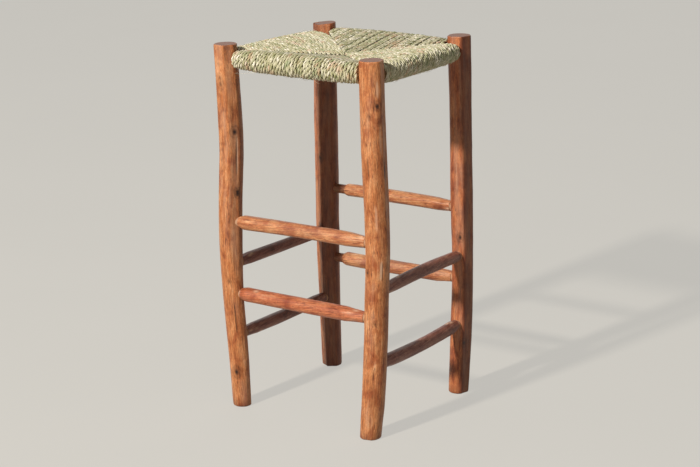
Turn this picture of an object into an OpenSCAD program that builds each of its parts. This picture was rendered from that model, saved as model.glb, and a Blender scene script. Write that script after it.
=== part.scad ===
// Tall stool: four debarked poles, eight rungs and a seat of twisted leaf cord
// wound over four hidden rails. Millimetres, +Z up, the origin on the floor
// under the middle of the stool. Front is -Y and right is +X.

/* [Overall] */
// Height of the leg tops above the floor
leg_h = 750; // [650:5:850]
// Distance between the front leg axes at the top
front_w = 350; // [330:1:380]
// Distance between the back leg axes at the top
back_w = 332; // [320:1:370]
// Distance between the front and back leg axes at the top
seat_depth = 314; // [300:1:350]

/* [Leg lean] */
// How far the front left foot stands in from its top, across
lean_fl_x = 9; // [0:1:20]
// How far the front left foot stands in from its top, front to back
lean_fl_y = 6; // [-5:1:15]
// How far the front right foot stands in from its top, across
lean_fr_x = 14; // [0:1:20]
// How far the front right foot stands in from its top, front to back
lean_fr_y = -1; // [-5:1:15]
// How far the back right foot stands in from its top, across
lean_br_x = 3; // [0:1:20]
// How far the back right foot stands in from its top, front to back
lean_br_y = -1; // [-5:1:15]
// How far the back left foot stands in from its top, across
lean_bl_x = 6; // [0:1:20]
// How far the back left foot stands in from its top, front to back
lean_bl_y = 5; // [-5:1:15]

/* [Legs] */
// Diameter of the poles, before each one's own thick and thin places
pole_d = 49; // [46:0.5:56]
// How far a much bowed pole strays from a straight one
pole_bow = 13; // [0:1:20]
// Depth of the deepest hewn flat
hewn_t = 2.8; // [0:0.1:4]
// Height of the proudest knot
knot_h = 1.5; // [0:0.1:2.5]
// Bevel round the sawn leg tops
top_bevel = 1.5; // [0.5:0.5:4]
// Rounding round the feet
foot_round = 3; // [1:0.5:6]

/* [Rungs] */
// Height of the upper front and back rungs
rung_front_upper_z = 394; // [350:1:450]
// Height of the lower front and back rungs
rung_front_lower_z = 243; // [200:1:280]
// Height of the upper side rungs
rung_side_upper_z = 300; // [285:1:345]
// Height of the lower side rungs
rung_side_lower_z = 150; // [100:1:200]
// Diameter of the front and back rungs at mid length
rung_front_d = 29; // [24:0.5:34]
// Diameter of the side rungs at mid length
rung_side_d = 26; // [23:0.5:32]
// Diameter of the whittled rung ends
rung_tenon_d = 20; // [16:0.5:22]
// Depth of a rung's end in its leg
rung_tenon_l = 25; // [15:1:30]
// How far the blunt end of a rung stands out round its tenon
rung_shoulder = 1.5; // [0.5:0.1:2]
// Bare tenon between the upper back rung and its left leg
rung_stand_upper = 25; // [0:1:40]
// Bare tenon between the lower back rung and its left leg
rung_stand_lower = 17; // [0:1:40]

/* [Seat frame] */
// How far the front and back seat rails lie under the leg tops
rail_drop = 28; // [25:1:50]
// How much lower the side seat rails lie
side_rail_drop = 3; // [0:0.5:6]
// Diameter of the seat rails
rail_d = 29; // [24:0.5:34]
// Diameter of the round ends of the seat rails
rail_tenon_d = 18; // [14:0.5:20]

/* [Woven seat] */
// Diameter of the twisted cord
cord_d = 5.9; // [5:0.1:8]
// How far the middle of the seat lies under the top of the front rail
seat_dip = 21; // [12:1:26]
// Thickness of the seat at its middle
seat_mid_t = 16; // [15:1:24]
// Least gap between two turns of cord
turn_gap = 0.3; // [0.3:0.1:1]
// Groove between two fields of the weave
seam_gap = 1; // [0.6:0.1:2]
// Room between the stuffing and the seams
stuffing_gap = 3; // [2:0.5:6]

/* [Fits] */
// Clearance round a round end in its hole
hole_fit = 0.2; // [0.1:0.05:0.4]
// Clearance at the bottom of a hole
hole_end_gap = 0.3; // [0.2:0.1:2]
// Clearance between wood and what lies against it
seat_gap = 0.3; // [0.2:0.05:0.5]
// Wood left between two holes at one height
web_t = 0.6; // [0.5:0.1:2]

/* [Hidden] */
$fn = 48;

leg_colour = "#b9683f";
rung_colour = "#a85a36";
rail_colour = "#c79c6b";
cord_colour = "#cbc79a";
stuffing_colour = "#a99a62";

leg_sides = 24;
leg_rings = 22;
rung_sides = 14;
rung_rings = 12;

// Names for the four legs, counted anticlockwise from above
FL = 0;
FR = 1;
BR = 2;
BL = 3;

function mix(a, b, t) = a + (b - a) * t;
function smooth(t) = let (c = min(1, max(0, t))) c * c * (3 - 2 * c);
function bump(x, middle, reach) = exp(-pow((x - middle) / reach, 2));
function turn_between(a, b) = abs((a - b + 540) % 360 - 180);

rail_front_z = leg_h - rail_drop;
rail_side_z = rail_front_z - side_rail_drop;

// For each leg: its corner, its lean, how far its sawn top falls to one side as a share of its diameter
leg_sign = [[-1, -1], [1, -1], [1, 1], [-1, 1]];
leg_lean = [[lean_fl_x, lean_fl_y], [lean_fr_x, lean_fr_y], [lean_br_x, lean_br_y], [lean_bl_x, lean_bl_y]];
leg_top_fall = [0.01, 0.02, 0.02, 0.1];
fall_turn = 216;

// How far each pole wanders sideways, as [share of the height, share of the bow]
leg_wander = [
  [[0, 0], [0.15, -0.18], [0.3, -0.53], [0.44, -0.57], [0.56, -0.38], [0.72, 0.2], [0.86, 0.17], [1, 0]],
  [[0, 0], [0.1, 0.38], [0.25, 0.73], [0.38, 0.85], [0.51, 1], [0.64, 0.77], [0.78, 0.38], [1, 0]],
  [[0, 0], [0.1, 0.23], [0.2, 0.46], [0.35, 0.62], [0.55, 0.46], [0.77, 0.27], [0.9, 0.15], [1, 0]],
  [[0, 0], [0.1, -0.08], [0.2, -0.15], [0.35, -0.23], [0.55, -0.15], [0.77, -0.08], [0.9, 0], [1, 0]]
];
wander_turn = 36;

// How thick each pole is, as [share of the height, share of the diameter]
leg_girth = [
  [[0, 0.79], [0.15, 0.86], [0.29, 0.88], [0.44, 0.955], [0.56, 0.97], [0.72, 1], [1, 0.955]],
  [[0, 0.86], [0.1, 0.945], [0.25, 0.975], [0.38, 0.975], [0.51, 0.985], [0.78, 1.01], [1, 0.98]],
  [[0, 0.86], [0.1, 0.9], [0.21, 0.935], [0.35, 0.905], [0.55, 0.955], [0.77, 0.935], [1, 0.97]],
  [[0, 0.87], [0.05, 0.91], [0.19, 0.945], [0.34, 1.005], [0.63, 1.03], [0.84, 1], [1, 0.96]]
];

// A pole isn't quite round: it has two broad lobes and three faint ones
lobe_two = 0.012;
lobe_three = 0.008;
swell = 1 + lobe_two + lobe_three;

// Hewn flats: [direction, share of the deepest, share of the height where it starts, share where it ends]
leg_flats = [
  [[-94, 0.8, 0.5, 1.2], [-34, 0.85, 0.35, 1.2], [150, 0.55, -0.2, 0.7], [40, 0.5, -0.2, 0.5]],
  [[-75, 0.8, -0.2, 0.16], [120, 0.65, 0.2, 0.8], [10, 0.5, 0.5, 1.2], [-150, 0.5, 0, 0.6]],
  [[-75, 1, 0.1, 1.2], [-14, 1, -0.2, 1.2], [100, 0.55, 0.1, 0.8], [200, 0.5, 0.3, 1.2]],
  [[-115, 1, -0.2, 1.2], [-55, 0.95, -0.2, 1.2], [60, 0.5, 0, 0.7], [170, 0.55, 0.4, 1.2]]
];
// A flat reaches this far round from its middle, and runs out over this share of the height
flat_turn = 60;
flat_fade = 0.12;

// Knots left standing: [direction, share of the height, share of the proudest]
leg_knots = [
  [[-60, 0.73, 1], [-20, 0.52, 0.8], [-75, 0.12, 0.95]],
  [[-40, 0.86, 0.95], [-65, 0.34, 0.8], [130, 0.6, 1]],
  [[-70, 0.45, 0.95], [60, 0.7, 0.85], [-40, 0.15, 0.8]],
  [[-90, 0.62, 0.85], [20, 0.4, 0.95], [170, 0.8, 0.8]]
];
knot_turn = 22;
knot_share = 0.018;

function leg_top(k) = [
  leg_sign[k][0] * (k == FL || k == FR ? front_w : back_w) / 2,
  leg_sign[k][1] * seat_depth / 2
];

// A smooth curve through rows of [place, value]
function slope_at(rows, i) =
  let (a = rows[max(i - 1, 0)], b = rows[min(i + 1, len(rows) - 1)])
  (b[1] - a[1]) / (b[0] - a[0]);
function through(rows, t, i = 0) =
  i < len(rows) - 2 && t > rows[i + 1][0]
  ? through(rows, t, i + 1)
  : let (a = rows[i], b = rows[i + 1], w = b[0] - a[0], s = (t - a[0]) / w)
    a[1] * (2 * s * s * s - 3 * s * s + 1) + b[1] * (3 * s * s - 2 * s * s * s)
    + w * (slope_at(rows, i) * (s * s * s - 2 * s * s + s) + slope_at(rows, i + 1) * (s * s * s - s * s));

// Middle of a leg at one height, before the stool is centred on the origin
function leg_raw(k, z) =
  let (
    t = z / leg_h,
    top = leg_top(k),
    foot = [for (j = [0, 1]) top[j] - leg_sign[k][j] * leg_lean[k][j]],
    w = pole_bow * through(leg_wander[k], t)
  )
  mix(foot, top, t) + w * [cos(wander_turn), sin(wander_turn)];

function leg_r(k, z) = pole_d / 2 * through(leg_girth[k], z / leg_h);

// Radius of a leg in one direction: the round pole, its lobes and knots, cut back to its hewn flats
function leg_skin(k, z, a) =
  let (
    t = z / leg_h,
    r = leg_r(k, z),
    lobes = lobe_two * cos(2 * (a - 40 * k - 90 * t)) + lobe_three * cos(3 * (a + 70 * k) + 200 * t),
    round = r * (1 + lobes)
      + knot_h * sum([
        for (n = leg_knots[k])
          n[2] * bump(turn_between(a, n[0]), 0, knot_turn) * bump(t, n[1], knot_share)
      ]),
    cuts = [
      for (f = leg_flats[k])
        let (
          off = turn_between(a, f[0]),
          deep = hewn_t * f[1] * smooth((t - f[2]) / flat_fade) * smooth((f[3] - t) / flat_fade)
        )
        off < flat_turn ? (r - deep) / cos(off) : 2 * r
    ]
  )
  min(concat([round], cuts));

function sum(v, i = 0) = i >= len(v) ? 0 : v[i] + sum(v, i + 1);

// Rings up a leg as [height, how much the edge is drawn in]: the rounded foot, the shaft, the bevelled top
foot_draw = 0.7;
leg_steps = concat(
  [[0, foot_draw * foot_round], [foot_round, 0]],
  [for (i = [1 : leg_rings]) [mix(foot_round, leg_h - top_bevel, i / leg_rings), 0]],
  [[leg_h, top_bevel]]
);

function leg_ring(k, z, drawn_in) =
  let (c = leg_raw(k, z), at_top = z > leg_h - 2 * top_bevel ? leg_top_fall[k] : 0)
  [
    for (j = [0 : leg_sides - 1])
      let (a = j * 360 / leg_sides, r = leg_skin(k, z, a) - drawn_in)
      [c[0] + r * cos(a), c[1] + r * sin(a), z - at_top * (pole_d / 2 + r * cos(a - fall_turn))]
  ];

// The stool's box is centred on the origin
leg_points = [for (k = [FL : BL]) for (s = leg_steps) for (p = leg_ring(k, s[0], s[1])) p];
box_middle = [for (j = [0, 1]) let (v = [for (p = leg_points) p[j]]) (min(v) + max(v)) / 2];
function leg_axis(k, z) = let (c = leg_raw(k, z)) [c[0] - box_middle[0], c[1] - box_middle[1], z];

// A closed skin over rings of the same number of points, as triangles
function skin_faces(sides, rings) = concat(
  [for (i = [1 : sides - 2]) [0, i, i + 1]],
  [for (r = [0 : rings - 2]) for (j = [0 : sides - 1])
    let (a = r * sides + j, b = r * sides + (j + 1) % sides)
    [b, a, a + sides]],
  [for (r = [0 : rings - 2]) for (j = [0 : sides - 1])
    let (a = r * sides + j, b = r * sides + (j + 1) % sides)
    [b, a + sides, b + sides]],
  [for (i = [1 : sides - 2]) let (o = (rings - 1) * sides) [o, o + i + 1, o + i]]
);

// A bar between two legs: [leg, its height there, other leg, its height there, diameter, tenon diameter,
// tenon depth], and for a rung the bare tenon before its first shoulder. Drops are shares of the diameter.
top_r = min([for (k = [FL : BL]) leg_r(k, rail_front_z)]);
rail_depth = top_r - rail_tenon_d / 2 - hole_fit - web_t - hole_end_gap;
function rung(a, b, z, drop_a, drop_b, d, stand = 0) =
  [a, z + drop_a * d, b, z + drop_b * d, d, rung_tenon_d, rung_tenon_l, stand];
function rail(a, b, z) = [a, z, b, z, rail_d, rail_tenon_d, rail_depth];

rails = [
  rail(FL, FR, rail_front_z), rail(FR, BR, rail_side_z),
  rail(BR, BL, rail_front_z), rail(BL, FL, rail_side_z)
];
rungs = [
  rung(FL, FR, rung_front_upper_z, -0.07, 0, rung_front_d),
  rung(FL, FR, rung_front_lower_z, -0.03, 0, 1.03 * rung_front_d),
  rung(BL, BR, rung_front_upper_z, 0.11, 0.07, 0.97 * rung_front_d, rung_stand_upper),
  rung(BL, BR, rung_front_lower_z, 0.07, 0.1, 1.02 * rung_front_d, rung_stand_lower),
  rung(BL, FL, rung_side_upper_z, 0.24, 0.04, 0.96 * rung_side_d),
  rung(BL, FL, rung_side_lower_z, 0.27, 0.04, rung_side_d),
  rung(FR, BR, rung_side_upper_z, -0.12, -0.08, rung_side_d),
  rung(FR, BR, rung_side_lower_z, -0.11, 0.04, 1.04 * rung_side_d)
];
// How far each rung bows at mid length, upwards and sideways, as shares of its diameter
rung_bow = [
  [0.035, 0.035], [-0.035, 0.07], [0.07, -0.07], [-0.05, 0.035],
  [0, 0.08], [-0.08, -0.04], [0.06, 0.08], [-0.19, 0.04]
];
// How long each rung's two ends are whittled, as shares of its diameter
rung_whittle = [
  [0.4, 1.75], [0.5, 1.7], [0.2, 1.25], [0.25, 1.4],
  [1.4, 1.2], [1.15, 1.35], [1.55, 0.5], [1.2, 0.75]
];
blunt = 0.1;

function bar_from(bar) = leg_axis(bar[0], bar[1]);
function bar_to(bar) = leg_axis(bar[2], bar[3]);
function bar_turn(bar) = let (d = bar_to(bar) - bar_from(bar)) atan2(d[1], d[0]);
function bar_tilt(bar) = let (d = bar_to(bar) - bar_from(bar)) atan2(d[2], norm([d[0], d[1]]));
function bar_length(bar) = norm(bar_to(bar) - bar_from(bar));

// Places what is drawn along +Z on a bar, from the axis of its first leg to that of its second
module on_bar(bar) {
  translate(bar_from(bar))
    rotate([0, 90 - bar_tilt(bar), bar_turn(bar)])
      children();
}

// Where a bar leaves the wood of its legs, from the first leg's axis
function bar_start(bar) = leg_r(bar[0], bar[1]) * swell + seat_gap;
function bar_end(bar) = bar_length(bar) - leg_r(bar[2], bar[3]) * swell - seat_gap;
function rung_start(bar) = bar_start(bar) + bar[7];

module holes(bar) {
  r = bar[5] / 2 + hole_fit;
  h = bar[6] + hole_end_gap;
  ra = leg_r(bar[0], bar[1]);
  rb = leg_r(bar[2], bar[3]);
  past = bar[5] / 2;
  on_bar(bar) {
    translate([0, 0, ra - h]) cylinder(r = r, h = h + past);
    translate([0, 0, bar_length(bar) - rb - past]) cylinder(r = r, h = h + past);
  }
}

module tenons(bar) {
  overlap = bar[5] / 3;
  a = leg_r(bar[0], bar[1]) - bar[6];
  b = bar_length(bar) - leg_r(bar[2], bar[3]) + bar[6];
  on_bar(bar) {
    translate([0, 0, a]) cylinder(d = bar[5], h = rung_start(bar) - a + overlap);
    translate([0, 0, bar_end(bar) - overlap]) cylinder(d = bar[5], h = b - bar_end(bar) + overlap);
  }
}

module leg(k) {
  color(leg_colour)
    difference() {
      translate([-box_middle[0], -box_middle[1], 0])
        polyhedron(
          points = [for (s = leg_steps) for (p = leg_ring(k, s[0], s[1])) p],
          faces = skin_faces(leg_sides, len(leg_steps)),
          convexity = 4
        );
      for (bar = concat(rails, rungs)) if (bar[0] == k || bar[2] == k) holes(bar);
    }
}

// A rail is a plain turned stick: it has a shoulder with a short taper at each leg
module seat_rail(i) {
  bar = rails[i];
  a = bar_start(bar);
  b = bar_end(bar);
  taper = bar[4] / 6;
  shoulder_r = mix(bar[5], bar[4], 0.5) / 2;
  color(rail_colour) {
    on_bar(bar)
      rotate_extrude()
        polygon([
          [0, leg_r(bar[0], bar[1]) - bar[6]],
          [bar[5] / 2, leg_r(bar[0], bar[1]) - bar[6]],
          [bar[5] / 2, a],
          [shoulder_r, a],
          [bar[4] / 2, a + taper],
          [bar[4] / 2, b - taper],
          [shoulder_r, b],
          [bar[5] / 2, b],
          [bar[5] / 2, bar_length(bar) - leg_r(bar[2], bar[3]) + bar[6]],
          [0, bar_length(bar) - leg_r(bar[2], bar[3]) + bar[6]]
        ]);
  }
}

// A rung is a debarked stick: slightly bowed, whittled down at its ends to a blunt shoulder round each tenon
function rung_r(i, along, turn) =
  let (
    bar = rungs[i],
    length = bar_end(bar) - rung_start(bar),
    whittled = rung_whittle[i] * bar[4],
    full = smooth(blunt + along / whittled[0]) * smooth(blunt + (length - along) / whittled[1]),
    t = along / length,
    lobes = 0.02 * cos(2 * (turn + 50 * i)) + 0.015 * cos(3 * turn + 80 * i + 220 * t) + 0.02 * cos(400 * t + 90 * i)
  )
  mix(bar[5] / 2 + rung_shoulder, bar[4] / 2 * (1 + lobes), full);

module stick(i) {
  bar = rungs[i];
  a = rung_start(bar);
  b = bar_end(bar);
  points = [
    for (s = [0 : rung_rings])
      let (t = (1 - cos(180 * s / rung_rings)) / 2, bow = rung_bow[i] * bar[4] * sin(180 * t))
      for (j = [0 : rung_sides - 1])
        let (turn = j * 360 / rung_sides, r = rung_r(i, t * (b - a), turn))
        [r * cos(turn) - bow[0], r * sin(turn) + bow[1], mix(a, b, t)]
  ];
  color(rung_colour)
    union() {
      on_bar(bar)
        polyhedron(points = points, faces = skin_faces(rung_sides, rung_rings + 1), convexity = 4);
      tenons(bar);
    }
}

// The cord: each turn leaves a seam, runs over its rail, round it and back to the seam underneath
cord_r = cord_d / 2;
wrap_r = rail_d / 2 + seat_gap + cord_r;
// A turn's straight runs start inside its bend and are a hair thinner than it, so that they join in one solid
run_lap = 1;
run_thinner = 0.05;
seat_middle = let (p = [for (k = [FL : BL]) leg_axis(k, rail_front_z)]) [
  (p[0][0] + p[1][0] + p[2][0] + p[3][0]) / 4,
  (p[0][1] + p[1][1] + p[2][1] + p[3][1]) / 4
];
mid_top_z = rail_front_z + wrap_r + cord_r - seat_dip;
mid_low_z = mid_top_z - seat_mid_t;

first_turn_gap = 3 * seat_gap;
function leg_side_r(k) = leg_r(k, rail_front_z) * swell + first_turn_gap;
function weave_from(bar) = leg_side_r(bar[0]);
function weave_to(bar) = bar_length(bar) - leg_side_r(bar[2]);
turns = 2 * floor(min([for (bar = rails) weave_to(bar) - weave_from(bar)]) / (cord_d + turn_gap) / 2);

// Distance from a rail's axis to the middle of the seat, square to the rail
function reach(bar) =
  let (p = bar_from(bar), turn = bar_turn(bar))
  -(seat_middle[0] - p[0]) * sin(turn) + (seat_middle[1] - p[1]) * cos(turn);
// Slope of a layer from its rail to the middle of the seat, to a tenth of a degree
function slope(bar, rise) = round(10 * (asin(wrap_r / norm([reach(bar), rise])) - atan2(rise, reach(bar)))) / 10;
function top_slope(bar) = slope(bar, mid_top_z - cord_r - bar[1]);
function low_slope(bar) = slope(bar, bar[1] - mid_low_z - cord_r);

// Draws along +X on a rail, with +Y towards the middle of the seat and +Z up
module at_rail(bar) {
  translate(bar_from(bar)) rotate([0, 0, bar_turn(bar)]) children();
}

// The part of the seat between a rail and the two seams, drawn in by a gap at each seam
module seam_wedge(bar, gap) {
  out = 2 * wrap_r;
  c = seat_middle;
  p = bar_from(bar);
  q = bar_to(bar);
  grow = 1 + out / reach(bar);
  back = gap / 2 * norm([p[0] - c[0], p[1] - c[1]]) / (bar_length(bar) / 2);
  shift = back * [sin(bar_turn(bar)), -cos(bar_turn(bar))];
  translate([shift[0], shift[1], 0])
    linear_extrude(height = leg_h + out)
      polygon([
        [c[0], c[1]],
        [c[0] + (p[0] - c[0]) * grow, c[1] + (p[1] - c[1]) * grow],
        [c[0] + (q[0] - c[0]) * grow, c[1] + (q[1] - c[1]) * grow]
      ]);
}

// The turns of one rail, cut square, side by side along X and set off from the rail's axis
module turn_row(bar, r, x = 0, y = 0) {
  pitch = (weave_to(bar) - weave_from(bar)) / turns;
  for (n = [0 : turns - 1])
    let (along = weave_from(bar) + (n + 0.5) * pitch)
      translate(x == 0 ? [along, y] : [x, along])
        circle(r = r);
}

module weave(i) {
  bar = rails[i];
  up = top_slope(bar);
  under = low_slope(bar);
  run = reach(bar) + cord_d;
  color(cord_colour)
    intersection() {
      at_rail(bar) {
        rotate([-90 - up, 0, 0])
          translate([0, 0, -run_lap])
            linear_extrude(height = run)
              turn_row(bar, cord_r - run_thinner, y = -wrap_r);
        rotate([-90 + under, 0, 0])
          translate([0, 0, -run_lap])
            linear_extrude(height = run)
              turn_row(bar, cord_r - run_thinner, y = wrap_r);
        rotate([90, 0, 90])
          rotate([0, 0, 90 - up])
            rotate_extrude(angle = 180 + up + under)
              turn_row(bar, cord_r, x = wrap_r);
      }
      seam_wedge(bar, seam_gap);
    }
}

// Loose leaf packed into the pocket between the two layers, which keeps the seat's shape
stuffing_start = 0.6;
module stuffing(i) {
  bar = rails[i];
  up = top_slope(bar);
  under = low_slope(bar);
  r = rail_d / 2;
  near = stuffing_start * r;
  far = reach(bar);
  color(stuffing_colour)
    intersection() {
      difference() {
        at_rail(bar)
          rotate([90, 0, 90])
            linear_extrude(height = bar_length(bar))
              polygon([
                [near, (near * sin(under) - r) / cos(under)],
                [far, (far * sin(under) - r) / cos(under)],
                [far, (r - far * sin(up)) / cos(up)],
                [near, (r - near * sin(up)) / cos(up)]
              ]);
        at_rail(bar) rotate([0, 90, 0]) cylinder(r = r + seat_gap, h = bar_length(bar));
      }
      seam_wedge(bar, 2 * stuffing_gap);
    }
}

module leg_front_left() { leg(FL); }
module leg_front_right() { leg(FR); }
module leg_back_right() { leg(BR); }
module leg_back_left() { leg(BL); }
module rail_front() { seat_rail(0); }
module rail_right() { seat_rail(1); }
module rail_back() { seat_rail(2); }
module rail_left() { seat_rail(3); }
module rung_front_upper() { stick(0); }
module rung_front_lower() { stick(1); }
module rung_back_upper() { stick(2); }
module rung_back_lower() { stick(3); }
module rung_left_upper() { stick(4); }
module rung_left_lower() { stick(5); }
module rung_right_upper() { stick(6); }
module rung_right_lower() { stick(7); }
module weave_front() { weave(0); }
module weave_right() { weave(1); }
module weave_back() { weave(2); }
module weave_left() { weave(3); }
module stuffing_front() { stuffing(0); }
module stuffing_right() { stuffing(1); }
module stuffing_back() { stuffing(2); }
module stuffing_left() { stuffing(3); }

leg_front_left();
leg_front_right();
leg_back_right();
leg_back_left();
rail_front();
rail_right();
rail_back();
rail_left();
rung_front_upper();
rung_front_lower();
rung_back_upper();
rung_back_lower();
rung_left_upper();
rung_left_lower();
rung_right_upper();
rung_right_lower();
weave_front();
weave_right();
weave_back();
weave_left();
stuffing_front();
stuffing_right();
stuffing_back();
stuffing_left();
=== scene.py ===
import bpy
import bmesh
import math
import random
from mathutils import Matrix, Vector, noise


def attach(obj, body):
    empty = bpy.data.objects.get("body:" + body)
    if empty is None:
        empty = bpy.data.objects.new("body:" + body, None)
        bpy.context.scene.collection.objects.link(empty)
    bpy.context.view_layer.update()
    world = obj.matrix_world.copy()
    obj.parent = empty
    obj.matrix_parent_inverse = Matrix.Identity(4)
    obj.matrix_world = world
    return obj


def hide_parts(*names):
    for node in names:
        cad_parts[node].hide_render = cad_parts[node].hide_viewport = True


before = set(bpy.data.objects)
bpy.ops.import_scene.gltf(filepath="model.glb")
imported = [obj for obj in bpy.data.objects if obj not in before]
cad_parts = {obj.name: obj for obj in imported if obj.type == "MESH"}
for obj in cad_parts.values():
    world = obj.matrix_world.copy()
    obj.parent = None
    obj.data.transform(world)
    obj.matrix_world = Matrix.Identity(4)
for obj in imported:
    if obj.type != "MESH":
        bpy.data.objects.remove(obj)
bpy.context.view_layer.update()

mm = 0.001


# Small helpers

def linearColour(hexText):
    # sRGB hex to the linear values that the shaders want
    parts = [int(hexText[i:i + 2], 16) / 255 for i in (1, 3, 5)]
    return [p / 12.92 if p <= 0.04045 else ((p + 0.055) / 1.055) ** 2.4 for p in parts] + [1.0]


def mix(a, b, t):
    return a + (b - a) * t


def smooth(t):
    t = min(1.0, max(0.0, t))
    return t * t * (3 - 2 * t)


def cosDeg(degrees):
    return math.cos(math.radians(degrees))


def sinDeg(degrees):
    return math.sin(math.radians(degrees))


def noiseAt(x, y, z):
    return noise.noise(Vector((x, y, z)))


def turnBetween(a, b):
    # the angle between two directions round a stick, in degrees
    return abs((a - b + 540) % 360 - 180)


def through(rows, t):
    # the same smooth curve through [place, value] rows as in the CAD source
    i = 0
    while i < len(rows) - 2 and t > rows[i + 1][0]:
        i += 1

    def slopeAt(j):
        a, b = rows[max(j - 1, 0)], rows[min(j + 1, len(rows) - 1)]
        return (b[1] - a[1]) / (b[0] - a[0])

    a, b = rows[i], rows[i + 1]
    w = b[0] - a[0]
    s = (t - a[0]) / w
    return (a[1] * (2 * s ** 3 - 3 * s * s + 1) + b[1] * (3 * s * s - 2 * s ** 3)
            + w * (slopeAt(i) * (s ** 3 - 2 * s * s + s) + slopeAt(i + 1) * (s ** 3 - s * s)))


def meshObject(name, bm, materials, replaced=()):
    mesh = bpy.data.meshes.new(name)
    bm.to_mesh(mesh)
    bm.free()
    for material in materials:
        mesh.materials.append(material)
    piece = bpy.data.objects.new(name, mesh)
    bpy.context.scene.collection.objects.link(piece)
    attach(piece, "root")
    if replaced:
        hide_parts(*replaced)
    return piece


def tube(bm, sides, rings, place, mark=None, capMaterial=0):
    # A closed tube from a cylinder cut into rings. place(ring, side) gives each vertex its point,
    # mark(vertex, ring, side) fills its attributes. The uv layer gets side and ring, to be scaled later.
    made = bmesh.ops.create_cone(bm, cap_ends=True, cap_tris=False, segments=sides,
                                 radius1=1, radius2=1, depth=1)
    longEdges = {e for v in made["verts"] for e in v.link_edges
                 if abs(e.verts[0].co.z - e.verts[1].co.z) > 0.5}
    cut = bmesh.ops.subdivide_edges(bm, edges=list(longEdges), cuts=rings - 2)
    verts = {v for v in cut["geom_inner"] if isinstance(v, bmesh.types.BMVert)}
    verts |= {e.other_vert(v) for v in verts for e in v.link_edges}
    index = {}
    for v in verts:
        ring = round((v.co.z + 0.5) * (rings - 1))
        side = round(math.atan2(v.co.y, v.co.x) / (2 * math.pi) * sides) % sides
        index[v] = (ring, side)
    for v, (ring, side) in index.items():
        v.co = place(ring, side)
        if mark:
            mark(v, ring, side)
    faces = {f for v in verts for f in v.link_faces}
    uv = bm.loops.layers.uv.verify()
    caps = []
    for f in faces:
        f.smooth = True
        if len(f.verts) > 4 or len({index[v][0] for v in f.verts}) == 1:
            caps.append(f)
            f.material_index = capMaterial
            continue
        wraps = {index[v][1] for v in f.verts} == {0, sides - 1}
        for loop in f.loops:
            ring, side = index[loop.vert]
            loop[uv].uv = (sides if wraps and side == 0 else side, ring)
    return index, faces, caps


# Camera and light

camera = dict(lens=98.743, place=(2.2076, -3.0249, 1.3856), turn=36.097, look=15.410, roll=-0.998)


def makeCamera():
    a, e, r = (math.radians(camera[k]) for k in ("turn", "look", "roll"))
    back = Vector((math.sin(a) * math.cos(e), -math.cos(a) * math.cos(e), math.sin(e)))
    level = Vector((math.cos(a), math.sin(a), 0))
    upright = back.cross(level)
    right = level * math.cos(r) + upright * math.sin(r)
    up = upright * math.cos(r) - level * math.sin(r)
    data = bpy.data.cameras.new("photoCamera")
    data.lens = camera["lens"]
    data.sensor_width = 36
    data.sensor_fit = "HORIZONTAL"
    data.clip_end = 60
    data.dof.use_dof = False
    eye = bpy.data.objects.new("photoCamera", data)
    turnMatrix = Matrix((right, up, back)).transposed().to_4x4()
    eye.matrix_world = Matrix.Translation(camera["place"]) @ turnMatrix
    bpy.context.scene.collection.objects.link(eye)
    bpy.context.scene.camera = eye


light = dict(
    keyPlace=(-0.774, -6.79, 4.576), keySize=0.5, keyPower=770, keyColour="#fff8ef",
    fillPlace=(2.5, -1.9, 1.9), fillSize=1.6, fillPower=7, fillColour="#fff8f0",
    backFrom=(-0.5, 0.8, 0.3), backSpread=70, backPower=0.6, backColour="#f6f6f4",
    aim=(0, 0, 0.42), worldColour="#f4f1ea", worldStrength=0.14, worldSeen=0.6,
    floorDark="#a4a199", floorColour="#a9a69e", floorSeen="#ebe8e1", floorGlow=0.6,
)


def addLamp(name, kind, facing, place=(0, 0, 0), **settings):
    # facing points from the object to the lamp; the lamp's power and colour are those of its name
    data = bpy.data.lights.new(name + "Lamp", kind)
    data.energy = light[name + "Power"]
    data.color = linearColour(light[name + "Colour"])[:3]
    for key, value in settings.items():
        setattr(data, key, value)
    lamp = bpy.data.objects.new(name + "Lamp", data)
    lamp.location = place
    lamp.rotation_euler = facing.to_track_quat("Z", "Y").to_euler()
    bpy.context.scene.collection.objects.link(lamp)


makeCamera()
for name in ("key", "fill"):
    place = Vector(light[name + "Place"])
    addLamp(name, "AREA", place - Vector(light["aim"]), place, shape="DISK", size=light[name + "Size"])
addLamp("back", "SUN", Vector(light["backFrom"]), angle=math.radians(light["backSpread"]))
world = bpy.data.worlds.new("paleRoom")
bpy.context.scene.world = world
world.use_nodes = True
bpy.context.scene.view_settings.view_transform = "Standard"


# Materials

def addNode(tree, kind, values=None, links=None, stops=None, **settings):
    # a new node of this kind, or one that is there already, with its settings, values, links and colour stops;
    # a link from a node instead of a socket takes its first output
    node = tree.nodes.new(kind) if isinstance(kind, str) else kind
    for name, value in settings.items():
        setattr(node, name, value)
    for socket, value in (values or {}).items():
        node.inputs[socket].default_value = value
    for socket, source in (links or {}).items():
        output = source.outputs[0] if isinstance(source, bpy.types.Node) else source
        tree.links.new(output, node.inputs[socket])
    if stops:
        elements = node.color_ramp.elements
        while len(elements) < len(stops):
            elements.new(0.5)
        for element, (place, colour) in zip(elements, stops):
            element.position = place
            element.color = linearColour(colour)
    return node


def seenRays(tree):
    # 1 for what the camera sees straight or in gloss or through glass, 0 for the light that falls on the object
    path = addNode(tree, "ShaderNodeLightPath")
    gloss = addNode(tree, "ShaderNodeMath", operation="MAXIMUM",
                    links={0: path.outputs["Is Camera Ray"], 1: path.outputs["Is Glossy Ray"]})
    return addNode(tree, "ShaderNodeMath", operation="MAXIMUM",
                   links={0: gloss, 1: path.outputs["Is Transmission Ray"]})


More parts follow.
